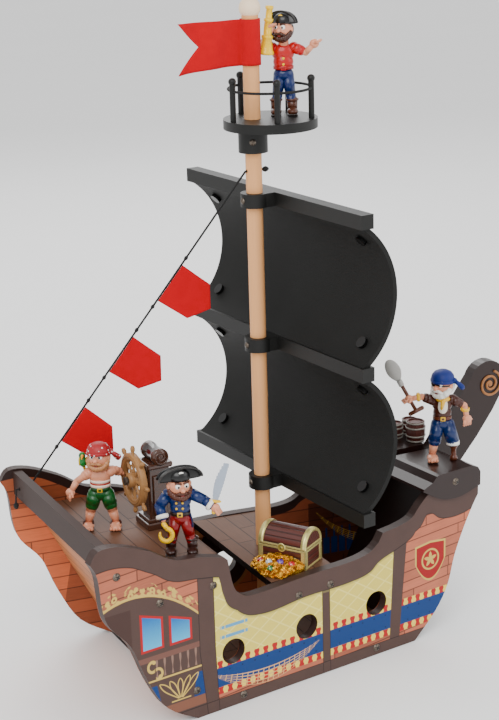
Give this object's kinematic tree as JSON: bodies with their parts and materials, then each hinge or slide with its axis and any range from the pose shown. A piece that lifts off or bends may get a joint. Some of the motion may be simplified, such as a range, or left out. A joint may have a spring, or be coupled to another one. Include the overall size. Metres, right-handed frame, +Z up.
{
  "type": "toy boat",
  "caption": "Free-standing wooden toy sailing ship with tapered printed sides, mast, two bellied sails on yards, crow's nest, ship's wheel, opening treasure chest and lift-off toy crew.",
  "frame": {"origin": "on the mast's axis, at the level of the flat keel that the ship stands on", "axes": "+X towards the bow, +Y to port, +Z up along the mast"},
  "size_m": [0.4715, 0.2678, 0.5857],
  "materials": {
    "hull_print": "printed board, satin",
    "rail_paint": "printed board, satin",
    "deck_print": "printed plank board, satin",
    "tan_wood": "printed plank board, satin",
    "dark_board": "dark stained board",
    "dark_moulding": "gloss paint on cast resin",
    "carved_tan": "painted resin",
    "screw_steel": "dull plated",
    "barrel_resin": "painted resin",
    "rope_resin": "painted resin",
    "dowel": "bare beech dowel",
    "ball_wood": "bare wood",
    "red_felt": "felt",
    "black_board": "black stained, satin",
    "black_cord": "waxed cord",
    "black_sail": "black foam sheet, grained",
    "black_plastic": "moulded",
    "chest_resin": "painted resin",
    "brass_paint": "brass-coloured paint",
    "gold_resin": "gold-coloured cast resin",
    "gem": "clear coloured",
    "lookout_paint": "painted figure",
    "yellow_paint": "painted",
    "deckhand_paint": "painted figure",
    "captain_paint": "painted figure",
    "sabre_plastic": "painted",
    "digger_paint": "painted figure",
    "spade_paint": "painted"
  },
  "bodies": {
    "hull": {"starboard_side": "hull_print", "port_side": "hull_print", "hull_floor": "deck_print", "transom": "tan_wood", "stern_rail": "rail_paint", "stern_deck": "deck_print", "mid_deck": "deck_print", "deck_battens": "tan_wood", "bow_wall": "dark_board", "stem_board": "dark_moulding", "stem_scrolls": "carved_tan", "starboard_prow_cap": "dark_moulding", "port_prow_cap": "dark_moulding", "starboard_screws": "screw_steel", "port_screws": "screw_steel", "prow_screws": "screw_steel", "barrels": "barrel_resin", "barrel_ring": "rope_resin", "mast_step": "tan_wood", "mast": "dowel", "mast_ball": "ball_wood", "masthead_flag": "red_felt", "nest_platform": "black_board", "nest_posts": "black_board", "nest_rope": "black_cord", "nest_screw": "screw_steel", "pennant_line": "black_cord", "pennants": "red_felt", "helm_stand": "dark_moulding", "helm_axle": "screw_steel"},
    "rig": {"upper_yard": "black_board", "middle_yard": "black_board", "lower_yard": "black_board", "yard_screws": "screw_steel", "upper_sail": "black_sail", "lower_sail": "black_sail", "sail_knobs": "black_plastic"},
    "wheel": {"helm_wheel": "carved_tan"},
    "chest": {"chest_base": "chest_resin", "chest_bands": "brass_paint", "chest_pin": "brass_paint"},
    "lid": {"chest_lid": "chest_resin", "lid_bands": "brass_paint", "chest_hasp": "brass_paint"},
    "heap": {"treasure": "gold_resin", "gems": "gem"},
    "lookout": {"lookout": "lookout_paint", "lookout_spyglass": "yellow_paint"},
    "deckhand": {"deckhand": "deckhand_paint"},
    "captain": {"captain": "captain_paint", "captain_sabre": "sabre_plastic"},
    "digger": {"digger": "digger_paint", "digger_spade": "spade_paint"}
  },
  "joints": [
    {"name": "rig_swivel", "type": "hinge", "parent": "hull", "child": "rig", "pos_m": [0, 0, 0.288], "axis": [0, 0, 1], "range_deg": [-20, 20]},
    {"name": "wheel_spin", "type": "hinge", "parent": "hull", "child": "wheel", "pos_m": [-0.124, 0, 0.185], "axis": [1, 0, 0], "continuous": true},
    {"name": "chest_lift", "type": "slide", "parent": "hull", "child": "chest", "axis": [0, 0, 1], "range_m": [0, 0.004]},
    {"name": "lid_hinge", "type": "hinge", "parent": "chest", "child": "lid", "pos_m": [0.01742, -0.03563, 0.116], "axis": [-0.5446, 0.8387, 0], "range_deg": [0, 65]},
    {"name": "heap_lift", "type": "slide", "parent": "hull", "child": "heap", "axis": [0, 0, 1], "range_m": [0, 0.03]},
    {"name": "lookout_lift", "type": "slide", "parent": "hull", "child": "lookout", "axis": [0, 0, 1], "range_m": [0, 0.03]},
    {"name": "deckhand_lift", "type": "slide", "parent": "hull", "child": "deckhand", "axis": [0, 0, 1], "range_m": [0, 0.03]},
    {"name": "captain_lift", "type": "slide", "parent": "hull", "child": "captain", "axis": [0, 0, 1], "range_m": [0, 0.03]},
    {"name": "digger_lift", "type": "slide", "parent": "hull", "child": "digger", "axis": [0, 0, 1], "range_m": [0, 0.03]}
  ]
}
